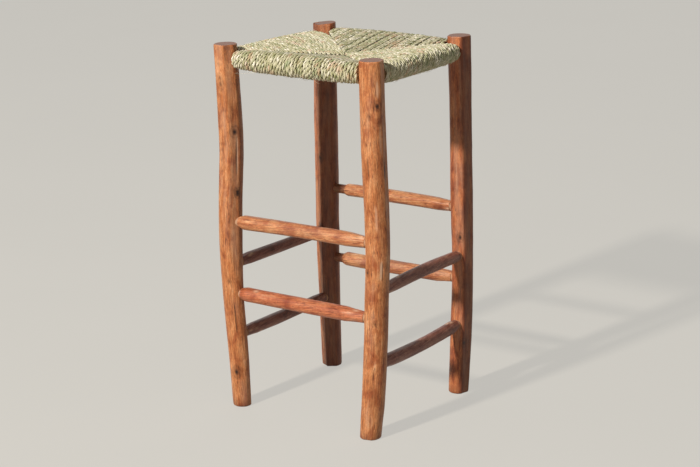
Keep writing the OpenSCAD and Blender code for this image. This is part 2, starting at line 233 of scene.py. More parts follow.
worldTree = world.node_tree
background = worldTree.nodes["Background"]
worldLevel = addNode(worldTree, "ShaderNodeMapRange",
                     {"To Min": light["worldStrength"], "To Max": light["worldSeen"]},
                     {"Value": seenRays(worldTree)})
addNode(worldTree, background, {"Color": linearColour(light["worldColour"])}, {"Strength": worldLevel})
print("camera and light done")


def newMaterial(name):
    material = bpy.data.materials.new(name)
    material.use_nodes = True
    tree = material.node_tree
    return material, tree, tree.nodes["Principled BSDF"]


def floorPaint():
    # Matt emulsion on a smooth floor: no gloss, and a very slight mottle in clouds about 700 mm across;
    # it glows a little for the camera alone
    material, tree, shader = newMaterial("matt floor paint")
    where = addNode(tree, "ShaderNodeTexCoord")
    mottle = addNode(tree, "ShaderNodeTexNoise", {"Scale": 1.5, "Detail": 3},
                     {"Vector": where.outputs["Object"]})
    tone = addNode(tree, "ShaderNodeValToRGB", links={"Fac": mottle},
                   stops=[(0.3, light["floorDark"]), (0.7, light["floorColour"])])
    addNode(tree, shader, {"Roughness": 0.9, "Specular IOR Level": 0.2}, {"Base Color": tone})
    glow = addNode(tree, "ShaderNodeEmission", {"Color": linearColour(light["floorSeen"]), "Strength": 1.0})
    share = addNode(tree, "ShaderNodeMath", {1: light["floorGlow"]}, {0: seenRays(tree)}, operation="MULTIPLY")
    both = addNode(tree, "ShaderNodeMixShader", links={0: share, 1: shader, 2: glow})
    addNode(tree, tree.nodes["Material Output"], links={"Surface": both})
    return material


def varnishedPole(name, dark, body, lit, pale, roughness):
    # Softwood pole stripped of its bark, rubbed with a red-brown stain and a thin oil varnish:
    # streaks of grain that wander, redder and paler blotches, grey patches where the stain missed, a soft sheen
    material, tree, shader = newMaterial(name)
    where = addNode(tree, "ShaderNodeAttribute", attribute_name="grain")
    marks = addNode(tree, "ShaderNodeAttribute", attribute_name="marks")
    part = addNode(tree, "ShaderNodeSeparateColor", links={"Color": marks.outputs["Color"]})
    # each pattern: how far it is drawn out along the pole, where it starts, and the noise's scale, detail,
    # roughness and wander; the sizes in millimetres are those that its scale is worked out from
    patterns = dict(
        streak=(0.09, (0, 0, 0), 340, 5, 0.66, 0.3),  # grain about 3 mm wide and 35 mm long
        fibre=(0.035, (0, 0, 0), 950, 3, 0.6, 0),  # fibres about 1 mm wide and 30 mm long
        band=(0.24, (0.3, 0.1, 0.7), 70, 4, 0.6, 0.4),  # light and dark stain, about 14 mm by 60 mm
        patch=(0.24, (0.3, 0.1, 0.7), 25, 6, 0.65, 0),  # grey patches about 40 mm wide
        blotch=(1, (0, 0, 0), 33, 4, 0.6, 0.5),  # redder blotches about 30 mm wide
        pit=(0.35, (0.1, 0.6, 0.2), 520, 3, 0.65, 0),  # pits that the bark left, about 2 mm by 5 mm
        fleck=(0.11, (0.5, 0.2, 0.1), 480, 3, 0.55, 0.8),  # strokes of bark, about 2 mm by 19 mm
    )
    seen = {}
    for key, (stretch, start, scale, detail, rough, wander) in patterns.items():
        laid = addNode(tree, "ShaderNodeMapping", {"Scale": (1, 1, stretch), "Location": start},
                       {"Vector": where.outputs["Vector"]})
        seen[key] = addNode(tree, "ShaderNodeTexNoise",
                            {"Scale": scale, "Detail": detail, "Roughness": rough, "Distortion": wander},
                            {"Vector": laid})
    # each level: the pattern it reads, the part of its range that counts, and what that part becomes
    levels = dict(red=("blotch", 0.5, 0.68, 0, 0.6), grey=("patch", 0.54, 0.68, 0, 0.45),
                  bark=("fleck", 0.57, 0.68, 0, 0.75), fibreTone=("fibre", 0.35, 0.65, 0.8, 1.14),
                  pitTone=("pit", 0.33, 0.67, 0.76, 1.16),
                  gloss=("patch", 0.3, 0.7, roughness - 0.09, roughness + 0.12))
    for key, (source, low, high, least, most) in levels.items():
        seen[key] = addNode(tree, "ShaderNodeMapRange",
                            {"From Min": low, "From Max": high, "To Min": least, "To Max": most},
                            {"Value": seen[source]})
    both = addNode(tree, "ShaderNodeMath", {1: 0.5}, {0: seen["streak"]}, operation="MULTIPLY")
    sumUp = addNode(tree, "ShaderNodeMath", {1: 0.5}, {0: seen["band"], 2: both}, operation="MULTIPLY_ADD")
    plain = addNode(tree, "ShaderNodeValToRGB", links={"Fac": sumUp},
                    stops=[(0.34, dark), (0.45, body), (0.56, lit), (0.68, pale)])
    stain = addNode(tree, "ShaderNodeMix", {7: linearColour(body)}, {0: seen["red"], 6: plain},
                    data_type="RGBA", blend_type="MULTIPLY")
    toned = addNode(tree, "ShaderNodeMath", links={0: seen["fibreTone"], 1: seen["pitTone"]},
                    operation="MULTIPLY")
    colour = addNode(tree, "ShaderNodeVectorMath", links={0: stain.outputs[2], 1: toned}, operation="MULTIPLY")
    # grey patches, strokes of bark, pale raw wood in the knife's cuts, painted shade in a deep red-brown, dark
    # knots and nicks
    for share, hexText in ((seen["grey"], "#8e6558"), (seen["bark"], "#5e3122"),
                           (part.outputs["Green"], "#deb698"), (part.outputs["Blue"], "#4a2012"),
                           (part.outputs["Red"], "#241009")):
        colour = addNode(tree, "ShaderNodeMix", {7: linearColour(hexText)}, {0: share, 6: colour},
                         data_type="RGBA").outputs[2]
    normal = {}
    for key, strength, depth in (("pit", 0.45, 0.0008), ("streak", 0.5, 0.0007), ("fibre", 0.35, 0.0003)):
        bump = addNode(tree, "ShaderNodeBump", {"Strength": strength, "Distance": depth},
                       {"Height": seen[key], **normal})
        normal = {"Normal": bump}
    addNode(tree, shader,
            {"IOR": 1.48, "Specular IOR Level": 0.36, "Coat Weight": 0.08, "Coat Roughness": 0.35},
            {"Base Color": colour, "Roughness": seen["gloss"], **normal})
    return material


def sawnEnd(name, pale, dark):
    # Sawn end grain, greyed by weather and hands: growth rings about 2 mm apart, specks about 2.5 mm wide
    # and clouds about 14 mm wide
    material, tree, shader = newMaterial(name)
    where = addNode(tree, "ShaderNodeUVMap", uv_map="UVMap")
    rings = addNode(tree, "ShaderNodeTexWave",
                    {"Scale": 160, "Distortion": 1.6, "Detail": 2, "Detail Scale": 60},
                    {"Vector": where}, wave_type="RINGS", rings_direction="SPHERICAL")
    speck = addNode(tree, "ShaderNodeTexNoise", {"Scale": 420, "Detail": 4}, {"Vector": where})
    cloud = addNode(tree, "ShaderNodeTexNoise", {"Scale": 70, "Detail": 3}, {"Vector": where})
    both = addNode(tree, "ShaderNodeMath", {1: 0.22}, {0: rings.outputs["Fac"], 2: speck},
                   operation="MULTIPLY_ADD")
    total = addNode(tree, "ShaderNodeMath", {1: 0.7}, {0: cloud, 2: both}, operation="MULTIPLY_ADD")
    tone = addNode(tree, "ShaderNodeValToRGB", links={"Fac": total}, stops=[(0.7, dark), (1.15, pale)])
    bump = addNode(tree, "ShaderNodeBump", {"Strength": 0.5, "Distance": 0.0004}, {"Height": total})
    addNode(tree, shader, {"Roughness": 0.75}, {"Base Color": tone, "Normal": bump})
    return material


def twistedLeaf():
    # Cord twisted by hand of two strands of dried palm leaf: matt, cream to pale green,
    # each strand a little different, with fine ribs along it, and painted shade where the strands meet
    material, tree, shader = newMaterial("twisted palm leaf cord")
    where = addNode(tree, "ShaderNodeUVMap", uv_map="UVMap")
    tint = addNode(tree, "ShaderNodeAttribute", attribute_name="tint")
    part = addNode(tree, "ShaderNodeSeparateColor", links={"Color": tint.outputs["Color"]})
    # leaf ribs are 0.5 mm apart; they are drawn a little coarse, 0.7 mm apart and 19 mm long, so that they show
    along = addNode(tree, "ShaderNodeMapping", {"Scale": (1, 0.035, 1)}, {"Vector": where})
    rib = addNode(tree, "ShaderNodeTexNoise", {"Scale": 1500, "Detail": 3, "Roughness": 0.6}, {"Vector": along})
    ribSmall = addNode(tree, "ShaderNodeMath", {1: 0.5, 2: -0.25}, {0: rib}, operation="MULTIPLY_ADD")
    shifted = addNode(tree, "ShaderNodeMath", links={0: part.outputs["Red"], 1: ribSmall}, operation="ADD")
    leaf = addNode(tree, "ShaderNodeValToRGB", links={"Fac": shifted},
                   stops=[(0.0, "#6d6a45"), (0.2, "#969568"), (0.42, "#b6b38f"), (0.64, "#d2cdb1"),
                          (0.85, "#eee9d8")])
    colour = leaf
    # green leaf, dry pinkish leaf, and painted shade between the strands and down in the seams
    for share, hexText in ((tint.outputs["Alpha"], "#8f9c70"), (part.outputs["Green"], "#cba489"),
                           (part.outputs["Blue"], "#3b3a1e")):
        colour = addNode(tree, "ShaderNodeMix", {7: linearColour(hexText)}, {0: share, 6: colour},
                         data_type="RGBA").outputs[2]
    bump = addNode(tree, "ShaderNodeBump", {"Strength": 0.6, "Distance": 0.0003}, {"Height": rib})
    addNode(tree, shader,
            {"Roughness": 0.62, "Specular IOR Level": 0.35, "Sheen Weight": 0.08, "Sheen Roughness": 0.5},
            {"Base Color": colour, "Normal": bump})
    return material


def packedLeaf():
    # Loose dry leaf pushed in between the two layers of cord: dull straw to brown, in shreds about 2.5 mm
    # wide, and dark because no light reaches it
    material, tree, shader = newMaterial("packed dry leaf")
    where = addNode(tree, "ShaderNodeTexCoord")
    flat = addNode(tree, "ShaderNodeMapping", {"Scale": (0.2, 1, 1), "Rotation": (0, 0, 0.6)},
                   {"Vector": where.outputs["Object"]})
    shred = addNode(tree, "ShaderNodeTexNoise", {"Scale": 380, "Detail": 4, "Distortion": 1.2}, {"Vector": flat})
    tone = addNode(tree, "ShaderNodeValToRGB", links={"Fac": shred},
                   stops=[(0.3, "#2f2a17"), (0.5, "#5d5430"), (0.72, "#8a7c4c")])
    bump = addNode(tree, "ShaderNodeBump", {"Strength": 0.8, "Distance": 0.0008}, {"Height": shred})
    addNode(tree, shader, {"Roughness": 0.85}, {"Base Color": tone, "Normal": bump})
    return material


floorMaterial = floorPaint()
legMaterial = varnishedPole("stained varnished softwood pole", "#84451f", "#b56e3f", "#cf8d5c", "#dfab82", 0.44)
# painted shade: a darker, redder copy of the pole material for the back poles, which lie in the front poles'
# shadow
shadedBackLegMaterial = varnishedPole("softwood pole darkened as painted shade", "#6a301d", "#a25a38", "#bf7447", "#d09367",
                                0.44)
rungMaterial = varnishedPole("stained varnished rung stick", "#7a4229", "#b56f48", "#cf9467", "#e6bd97", 0.48)
redRungMaterial = varnishedPole("redder stained rung stick", "#743822", "#ad5f3d", "#c57a52", "#dca684", 0.46)
# painted shade: a darker copy of the stick material for the side sticks, which lie in the front legs' shadow
shadedSideRungMaterial = varnishedPole("rung stick darkened as painted shade", "#573029", "#835043", "#9e6a58", "#b98c7b", 0.42)
railMaterial = varnishedPole("bare debarked rail stick", "#7d5c3a", "#a98a5c", "#c4a677", "#d6be93", 0.7)
endMaterial = sawnEnd("greyed sawn end grain", "#ab897c", "#6a4a45")
rawEndMaterial = sawnEnd("raw whittled end", "#cfa886", "#8a5a40")
cordMaterial = twistedLeaf()
leafMaterial = packedLeaf()

floorMesh = bpy.data.meshes.new("floor")
floorBm = bmesh.new()
bmesh.ops.create_grid(floorBm, x_segments=8, y_segments=8, size=15)
floorBm.to_mesh(floorMesh)
floorBm.free()
floorMesh.materials.append(floorMaterial)
floor = bpy.data.objects.new("floor", floorMesh)
bpy.context.scene.collection.objects.link(floor)
print("materials and floor done")


# Legs: four poles, bowed and hewn as in the CAD source, with finer marks of the knife

overall = dict(legH=750, frontW=350, backW=332, seatDepth=314, poleD=49, poleBow=13, hewn=2.8, hewnEnd=0.12,
               knotH=1.5, knotTurn=22, knotReach=0.018, topBevel=1.5, footRound=3, fallTurn=216,
               wanderTurn=36, middle=(1.68411, 1.41692), sides=72, rings=246, markR=23, grainR=23.5)
# For each pole: sign is its corner, lean how far its foot lies further in than its top, and fall how steeply
# the top is sawn out of level; wander and girth are its bow and its thickness as [height, share]. Its marks
# have a direction in degrees and a height as a share of the pole's: flats [direction, depth, from, to], knots
# [direction, height, strength], spots [direction, height, size, strength], gouges and splits [direction,
# height, half width, half length, strength], and painted shade [direction, half width in degrees, from, to,
# strength], darker where the pole faces away from the light or lies in another pole's shadow.
poles = [
    dict(name="poleFrontLeft", node="leg_front_left", sign=(-1, -1), lean=(9, 6), fall=0.01,
         wander=[[0, 0], [0.15, -0.18], [0.3, -0.53], [0.44, -0.57], [0.56, -0.38], [0.72, 0.2],
                 [0.86, 0.17], [1, 0]],
         girth=[[0, 0.79], [0.15, 0.86], [0.29, 0.88], [0.44, 0.955], [0.56, 0.97], [0.72, 1], [1, 0.955]],
         flats=[[-94, 0.8, 0.5, 1.2], [-34, 0.85, 0.35, 1.2], [150, 0.55, -0.2, 0.7], [40, 0.5, -0.2, 0.5]],
         knots=[[-60, 0.73, 1], [-20, 0.52, 0.8], [-75, 0.12, 0.95]],
         spots=[[-30.6, 0.769, 5, 0.8], [-97, 0.914, 3.6, 0.45], [-93, 0.896, 4.6, 0.5], [-84, 0.884, 2.4, 0.4],
                [-14, 0.607, 3.6, 1], [-13, 0.6, 3.4, 1], [-73.6, 0.102, 5.5, 0.75], [-70, 0.36, 2.2, 0.6],
                [150, 0.66, 5, 0.7], [60, 0.4, 4, 0.8]],
         gouges=[[-20, 0.705, 1.05, 36, 1], [-84, 0.8, 1.2, 20, 0.4]],
         splits=[[-27, 0.7, 0.9, 44, 0.85], [-50, 0.255, 0.9, 30, 0.9], [110, 0.5, 0.8, 60, 0.7]],
         paintedShade=[[-10, 38, 0.38, 0.86, 0.35], [-14, 40, 0.84, 1.2, 0.15]]),
    dict(name="poleFrontRight", node="leg_front_right", sign=(1, -1), lean=(14, -1), fall=0.02,
         wander=[[0, 0], [0.1, 0.38], [0.25, 0.73], [0.38, 0.85], [0.51, 1], [0.64, 0.77], [0.78, 0.38],
                 [1, 0]],
         girth=[[0, 0.86], [0.1, 0.945], [0.25, 0.975], [0.38, 0.975], [0.51, 0.985], [0.78, 1.01], [1, 0.98]],
         flats=[[-75, 0.8, -0.2, 0.16], [120, 0.65, 0.2, 0.8], [10, 0.5, 0.5, 1.2], [-150, 0.5, 0, 0.6]],
         knots=[[-40, 0.86, 0.95], [-65, 0.34, 0.8], [130, 0.6, 1]],
         spots=[[-33, 0.888, 3.6, 1], [-68, 0.862, 2.4, 0.6], [-107, 0.455, 2.6, 0.8], [-60, 0.32, 3, 0.5],
                [140, 0.7, 5, 0.7], [50, 0.3, 4.5, 0.8], [-25, 0.845, 6, 0.25]],
         gouges=[[-31, 0.93, 2.4, 16, 0.6], [-36, 0.465, 2.4, 17, 0.9], [-40, 0.455, 1.6, 12, 0.7],
                 [-22, 0.8, 1.6, 30, 0.35], [-58, 0.6, 2, 26, 0.4]],
         splits=[[-1.4, 0.726, 1.5, 24, 1], [-84.7, 0.73, 0.8, 18, 0.7], [-31, 0.46, 0.8, 18, 0.7],
                 [170, 0.35, 0.8, 60, 0.7]],
         paintedShade=[[-40, 17, 0.5, 0.82, 0.15], [-60, 14, -0.2, 0.2, 0.25]]),
    dict(name="poleBackRight", node="leg_back_right", sign=(1, 1), lean=(3, -1), fall=0.02,
         wander=[[0, 0], [0.1, 0.23], [0.2, 0.46], [0.35, 0.62], [0.55, 0.46], [0.77, 0.27], [0.9, 0.15],
                 [1, 0]],
         girth=[[0, 0.86], [0.1, 0.9], [0.21, 0.935], [0.35, 0.905], [0.55, 0.955], [0.77, 0.935], [1, 0.97]],
         flats=[[-75, 1, 0.1, 1.2], [-14, 1, -0.2, 1.2], [100, 0.55, 0.1, 0.8], [200, 0.5, 0.3, 1.2]],
         knots=[[-70, 0.45, 0.95], [60, 0.7, 0.85], [-40, 0.15, 0.8]],
         spots=[[-70, 0.45, 4, 0.8], [60, 0.7, 4.5, 0.8], [-40, 0.15, 4, 0.7], [160, 0.4, 5, 0.8]],
         gouges=[[-64, 0.965, 2.6, 9, 0.5], [-85, 0.62, 1.8, 30, 0.4]],
         splits=[[-45, 0.5, 0.8, 40, 0.6], [20, 0.75, 0.9, 50, 0.8]],
         paintedShade=[[0, 56, -0.2, 1.2, 0.6]]),
    dict(name="poleBackLeft", node="leg_back_left", sign=(-1, 1), lean=(6, 5), fall=0.1,
         wander=[[0, 0], [0.1, -0.08], [0.2, -0.15], [0.35, -0.23], [0.55, -0.15], [0.77, -0.08], [0.9, 0],
                 [1, 0]],
         girth=[[0, 0.87], [0.05, 0.91], [0.19, 0.945], [0.34, 1.005], [0.63, 1.03], [0.84, 1], [1, 0.96]],
         flats=[[-115, 1, -0.2, 1.2], [-55, 0.95, -0.2, 1.2], [60, 0.5, 0, 0.7], [170, 0.55, 0.4, 1.2]],
         knots=[[-90, 0.62, 0.85], [20, 0.4, 0.95], [170, 0.8, 0.8]],
         spots=[[-96.6, 0.42, 3.6, 0.9], [-90, 0.62, 4, 0.7], [20, 0.4, 5, 0.8], [170, 0.8, 4.5, 0.7]],
         gouges=[[-80, 0.25, 1.8, 22, 0.5], [-40, 0.7, 1.6, 30, 0.3]],
         splits=[[-60, 0.2, 0.8, 40, 0.6], [100, 0.6, 0.9, 55, 0.8]],
         paintedShade=[[-42, 50, -0.2, 0.94, 0.6], [-118, 40, 0.955, 1.2, 0.4]]),
]


def poleAxis(k, z):
    pole, t = poles[k], z / overall["legH"]
    w = overall["poleBow"] * through(pole["wander"], t)
    turn = math.radians(overall["wanderTurn"])
    width = overall["frontW"] if pole["sign"][1] < 0 else overall["backW"]
    top = (pole["sign"][0] * width / 2, pole["sign"][1] * overall["seatDepth"] / 2)
    return [mix(top[j] - pole["sign"][j] * pole["lean"][j], top[j], t) + w * (math.cos(turn), math.sin(turn))[j]
            - overall["middle"][j] for j in (0, 1)]


def poleR(k, z):
    return overall["poleD"] / 2 * through(poles[k]["girth"], z / overall["legH"])


def poleSkin(k, z, a):
    # radius of the pole as in the CAD source, and how far this place lies on a hewn flat, from 0 to 1
    pole, t, r = poles[k], z / overall["legH"], poleR(k, z)
    lobes = 0.012 * cosDeg(2 * (a - 40 * k - 90 * t)) + 0.008 * cosDeg(3 * (a + 70 * k) + 200 * t)
    skin = r * (1 + lobes)
    for turn, at, high in pole["knots"]:
        skin += overall["knotH"] * high * math.exp(-(turnBetween(a, turn) / overall["knotTurn"]) ** 2
                                                   - ((t - at) / overall["knotReach"]) ** 2)
    flat = 0.0
    for turn, share, low, top in pole["flats"]:
        off = turnBetween(a, turn)
        deep = (overall["hewn"] * share * smooth((t - low) / overall["hewnEnd"])
                * smooth((top - t) / overall["hewnEnd"]))
        if off < 60:
            cut = (r - deep) / cosDeg(off)
            if cut < skin:
                flat = min(1.0, (skin - cut) / 1.2)
                skin = cut
    return skin, flat


def makePole(k):
    pole = poles[k]
    sides, rings, h, bevel = overall["sides"], overall["rings"], overall["legH"], overall["topBevel"]
    bm = bmesh.new()
    marks = bm.verts.layers.float_color.new("marks")
    grain = bm.verts.layers.float_vector.new("grain")
    # rings round the foot's rounding, up the shaft and over the bevel at the top, and how far each is drawn in
    shaft = rings - 8
    heights = [0, 0.9, 2, overall["footRound"]]
    heights += [mix(overall["footRound"], h - 2.6, (i + 1) / shaft) for i in range(shaft)]
    heights += [h - bevel, h - 0.9, h - 0.35, h]
    drawn = [0.7 * overall["footRound"], 0.9, 0.25, 0] + [0] * shaft + [0.05, 0.35, 0.85, bevel]

    def away(a, turn, t, at):
        # how far a place lies from a mark, in millimetres round the pole and along it
        return turnBetween(a, turn) * math.pi / 180 * overall["markR"], (t - at) * h

    def nearest(rows, a, t, wide=1.0):
        # how strongly one of the long marks covers this place, from 0 to 1
        most = 0.0
        for turn, at, half, reach, strength in rows:
            across, along = away(a, turn, t, at)
            d = math.hypot(across / (half * wide), along / reach)
            most = max(most, strength * smooth((1.25 - d) / 0.5))
        return most

    def place(ring, side):
        z = heights[ring]
        a = side * 360 / sides
        skin, flat = poleSkin(k, z, a)
        c = poleAxis(k, z)
        ca, sa = cosDeg(a), sinDeg(a)
        # long shallow ridges of the wood under the bark, and dents, all cut inwards from the CAD outline
        ridge = noiseAt(ca * 3.2 + 7 * k, sa * 3.2, z / 95)
        dent = noiseAt(ca * 1.3 + 3 * k, sa * 1.3 + 9, z / 34)
        crisp = noiseAt(ca * 9 + 5 * k, sa * 9, z / 60)
        r = skin - drawn[ring] - 0.3 - 0.45 * ridge - 0.35 * dent - 0.16 * crisp * (1 - flat)
        r = min(r, skin - drawn[ring])
        t = z / h
        r -= 0.7 * nearest(pole["gouges"], a, t) + 0.9 * nearest(pole["splits"], a, t)
        for turn, at, size, strength in pole["spots"]:
            d = math.hypot(*away(a, turn, t, at)) / size
            r -= 0.6 * strength * math.exp(-d * d)
        # the top is sawn a little out of level
        fall = pole["fall"] * smooth((z - (h - 2 * bevel)) / bevel)
        sawn = z - fall * (overall["poleD"] / 2 + r * cosDeg(a - overall["fallTurn"]))
        return Vector((c[0] + r * ca, c[1] + r * sa, max(sawn, 0))) * mm

    def mark(v, ring, side):
        z, a = heights[ring], side * 360 / sides
        t = z / h
        knot = 0.0
        for turn, at, size, strength in pole["spots"]:
            across, along = away(a, turn, t, at)
            d = math.hypot(across, along * 0.8) / size
            rim = 0.55 * strength * math.exp(-((d - 1.9) / 0.4) ** 2)  # the darker line round a knot
            knot = max(knot, min(1, 1.5 * strength * math.exp(-d * d)), rim)
        knot = max(knot, nearest(pole["splits"], a, t, 1.3))
        stain = 0.5 * smooth((26 - z) / 30)  # the foot is dark from the ground
        # painted shade: darker on the sides of a pole that face away from the light or lie in another pole's
        # shadow, uneven at its edge
        for turn, half, low, top, strength in pole["paintedShade"]:
            uneven = 8 * noiseAt(k * 5.0, a / 40, z / 26)
            inside = smooth((half - turnBetween(a, turn) + uneven) / 7)
            stain = max(stain, strength * inside * smooth((t - low) / 0.02) * smooth((top - t) / 0.02))
        # the hewn flats are a little paler than the skin of the pole, unevenly
        flat = poleSkin(k, z, a)[1] * smooth(0.5 + noiseAt(k * 3.0 + a / 25, a / 60, z / 45))
        v[marks] = (knot, max(nearest(pole["gouges"], a, t), 0.22 * flat), stain, 1)
        v[grain] = (overall["grainR"] * mm * cosDeg(a) + 0.4 * k, overall["grainR"] * mm * sinDeg(a), z * mm)

    index, faces, caps = tube(bm, sides, rings, place, mark, capMaterial=1)
    uv = bm.loops.layers.uv.verify()
    around = overall["poleD"] * math.pi * mm / sides
    for f in faces:
        if f in caps:
            c = poleAxis(k, h if f.calc_center_median().z > 0.1 else 0)
            for loop in f.loops:
                loop[uv].uv = (loop.vert.co.x - c[0] * mm, loop.vert.co.y - c[1] * mm)
            f.smooth = False
        else:
            for loop in f.loops:
                side, ring = loop[uv].uv
                loop[uv].uv = (side * around, heights[round(ring)] * mm)
    # painted shade: the back poles take the darker copy of the pole material
    skinMaterial = shadedBackLegMaterial if "Back" in pole["name"] else legMaterial
    meshObject(pole["name"], bm, [skinMaterial, endMaterial], [pole["node"]])


for k in range(4):
    makePole(k)
print("legs done")


# Rungs: eight sticks, bowed and whittled down at their ends

railZ = overall["legH"] - 28
sideRailZ = railZ - 3
stick = dict(tenonR=10, shoulderR=11.5, swell=1.02, clear=0.3, sides=40, rings=112, facets=7, chips=7,
             chipW=2.6, chipL=6, grainR=14.5)
# bow and whittle are shares of the diameter, as in the CAD source; stand is the bare tenon that shows before
# the first shoulder
rungs = [
    dict(name="stickFrontUpper", node="rung_front_upper", legs=(0, 1), z=(391.97, 394), d=29,
         bow=(0.035, 0.035), whittle=(0.4, 1.75), stand=0),
    dict(name="stickFrontLower", node="rung_front_lower", legs=(0, 1), z=(242.1, 243), d=29.87,
         bow=(-0.035, 0.07), whittle=(0.5, 1.7), stand=0),
    dict(name="stickBackUpper", node="rung_back_upper", legs=(3, 2), z=(397.1, 395.97), d=28.13,
         bow=(0.07, -0.07), whittle=(0.2, 1.25), stand=25),
    dict(name="stickBackLower", node="rung_back_lower", legs=(3, 2), z=(245.07, 245.96), d=29.58,
         bow=(-0.05, 0.035), whittle=(0.25, 1.4), stand=17),
    dict(name="stickLeftUpper", node="rung_left_upper", legs=(3, 0), z=(305.99, 301), d=24.96,
         bow=(0, 0.08), whittle=(1.4, 1.2), stand=0),
    dict(name="stickLeftLower", node="rung_left_lower", legs=(3, 0), z=(157.02, 151.04), d=26,
         bow=(-0.08, -0.04), whittle=(1.15, 1.35), stand=0),
    dict(name="stickRightUpper", node="rung_right_upper", legs=(1, 2), z=(296.88, 297.92), d=26,
         bow=(0.06, 0.08), whittle=(1.55, 0.5), stand=0),
    dict(name="stickRightLower", node="rung_right_lower", legs=(1, 2), z=(147.03, 151.08), d=27.04,
         bow=(-0.19, 0.04), whittle=(1.2, 0.75), stand=0),
]


def barFrame(a, za, b, zb):
    # the matrix that lays +Z along a bar from the first leg's axis, and the bar's length, in millimetres
    start = Vector((*poleAxis(a, za), za))
    end = Vector((*poleAxis(b, zb), zb))
    d = end - start
    turn = math.atan2(d.y, d.x)
    tilt = math.atan2(d.z, math.hypot(d.x, d.y))
    turned = Matrix.Rotation(turn, 4, "Z") @ Matrix.Rotation(math.pi / 2 - tilt, 4, "Y")
    return Matrix.Translation(start) @ turned, d.length


def makeRung(i):
    rung = rungs[i]
    matrix, length = barFrame(rung["legs"][0], rung["z"][0], rung["legs"][1], rung["z"][1])
    inLeg = poleR(rung["legs"][0], rung["z"][0]) * stick["swell"] + stick["clear"]
    a = inLeg + rung["stand"]
    b = length - poleR(rung["legs"][1], rung["z"][1]) * stick["swell"] - stick["clear"]
    sides, body, tenon, shoulder = stick["sides"], stick["rings"], stick["tenonR"], stick["shoulderR"]
    # the round end inside the leg, bare tenon where there is some, the blunt shoulder, the whittled stick, and
    # the same again; each row is [place along, fixed radius, kind: 0 round end, 1 stick, 2 bare tenon]
    rows = [(inLeg - 7, tenon, 0), (inLeg - 3, tenon, 0)]
    rows += [(mix(inLeg - 2, a - 0.1, j / 7), tenon, 2) for j in range(8) if rung["stand"]]
    rows += [(a - 0.05, tenon, 0), (a, shoulder - 0.9, 0), (a + 0.35, shoulder - 0.2, 0)]
    rows += [(mix(a + 0.9, b - 0.9, j / (body - 1)), None, 1) for j in range(body)]
    rows += [(b - 0.35, shoulder - 0.2, 0), (b, shoulder - 0.9, 0), (b + 0.05, tenon, 0), (b + 7, tenon, 0)]
    bm = bmesh.new()
    marks = bm.verts.layers.float_color.new("marks")
    grain = bm.verts.layers.float_vector.new("grain")
    rng = random.Random(40 + i)
    # small pale chips near the two ends: direction, place along, strength
    chips = [(rng.uniform(0, 360), a + rng.uniform(2, 50) if n % 2 else b - rng.uniform(2, 50),
              rng.uniform(0.3, 0.9)) for n in range(stick["chips"])]

    def skin(along, turn):
        # radius of the whittled stick
        run = along - a
        ends = [share * rung["d"] for share in rung["whittle"]]
        full = min(1, 0.1 + run / ends[0]) * min(1, 0.1 + (b - a - run) / ends[1])
        t = run / (b - a)
        lobes = (0.02 * cosDeg(2 * (turn + 50 * i)) + 0.015 * cosDeg(3 * turn + 80 * i + 220 * t)
                 + 0.02 * cosDeg(400 * t + 90 * i))
        r = mix(shoulder, rung["d"] / 2 * (1 + lobes), full)
        # the knife leaves flat facets on the whittled ends and hints of them further on
        step = 360 / stick["facets"]
        off = (turn + 30 * i + 6 * math.sin(along / 23)) % step - step / 2
        facet = r * (1 - cosDeg(step / 2) / cosDeg(off)) * (0.25 + 0.6 * min(1, 2 * (1 - full)))
        ca, sa = cosDeg(turn), sinDeg(turn)
        dent = noiseAt(ca * 1.6 + 4 * i, sa * 1.6, along / 30)
        ridge = noiseAt(ca * 4 + 4 * i, sa * 4, along / 80)
        return r - 0.2 - facet - 0.28 * dent - 0.25 * ridge

    def place(ring, side):
        along, fixed, kind = rows[ring]
        turn = side * 360 / sides
        ca, sa = cosDeg(turn), sinDeg(turn)
        r = fixed or skin(along, turn)
        if kind == 2:
            r -= 0.25 + 0.35 * noiseAt(ca * 2.2 + 4 * i, sa * 2.2, along / 12)
        bend = rung["d"] * math.sin(math.pi * min(1, max(0, (along - a) / (b - a))))
        p = Vector((r * ca - rung["bow"][0] * bend, r * sa + rung["bow"][1] * bend, along))
        return (matrix @ p) * mm

    def mark(v, ring, side):
        along, fixed, kind = rows[ring]
        turn = side * 360 / sides
        pale = 0.0
        for chipTurn, chipAt, strength in chips:
            across = turnBetween(turn, chipTurn) * 0.22
            d = math.hypot(across / stick["chipW"], (along - chipAt) / stick["chipL"])
            pale = max(pale, strength * math.exp(-d * d))
        # painted shade on the bare tenons, in the deep red-brown of the marks' blue channel
        v[marks] = (0, (0.25, pale, 0.0)[kind], 0.55 if kind == 2 else 0, 1)
        around = math.radians(turn + 12 * along / 30)
        grainR = stick["grainR"] * mm
        v[grain] = (grainR * math.cos(around) + 0.37 * i + 2, grainR * math.sin(around), along * mm)

    index, faces, caps = tube(bm, sides, len(rows), place, mark)
    uv = bm.loops.layers.uv.verify()
    inverse = matrix.inverted()
    for f in faces:
        kinds = {rows[index[v][0]][2] for v in f.verts}
        if f in caps or kinds == {0}:
            f.material_index = 1
            for loop in f.loops:
                p = inverse @ (loop.vert.co / mm)
                loop[uv].uv = (p.x * mm, p.y * mm)
        else:
            for loop in f.loops:
                side, ring = loop[uv].uv
                loop[uv].uv = (side * rung["d"] * math.pi / sides * mm, rows[round(ring)][0] * mm)
    # painted shade: the side sticks take the darker copy of the stick material
    stickMaterial = shadedSideRungMaterial if "Left" in rung["name"] or "Right" in rung["name"] else rungMaterial
    if rung["name"] == "stickFrontLower":
        stickMaterial = redRungMaterial
    piece = meshObject(rung["name"], bm, [stickMaterial, rawEndMaterial], [rung["node"]])
    piece.data.set_sharp_from_angle(angle=math.radians(50))


for i in range(len(rungs)):
    makeRung(i)
print("rungs done")


# Seat: rails and stuffing stay inside, the cord is wound over them turn by turn

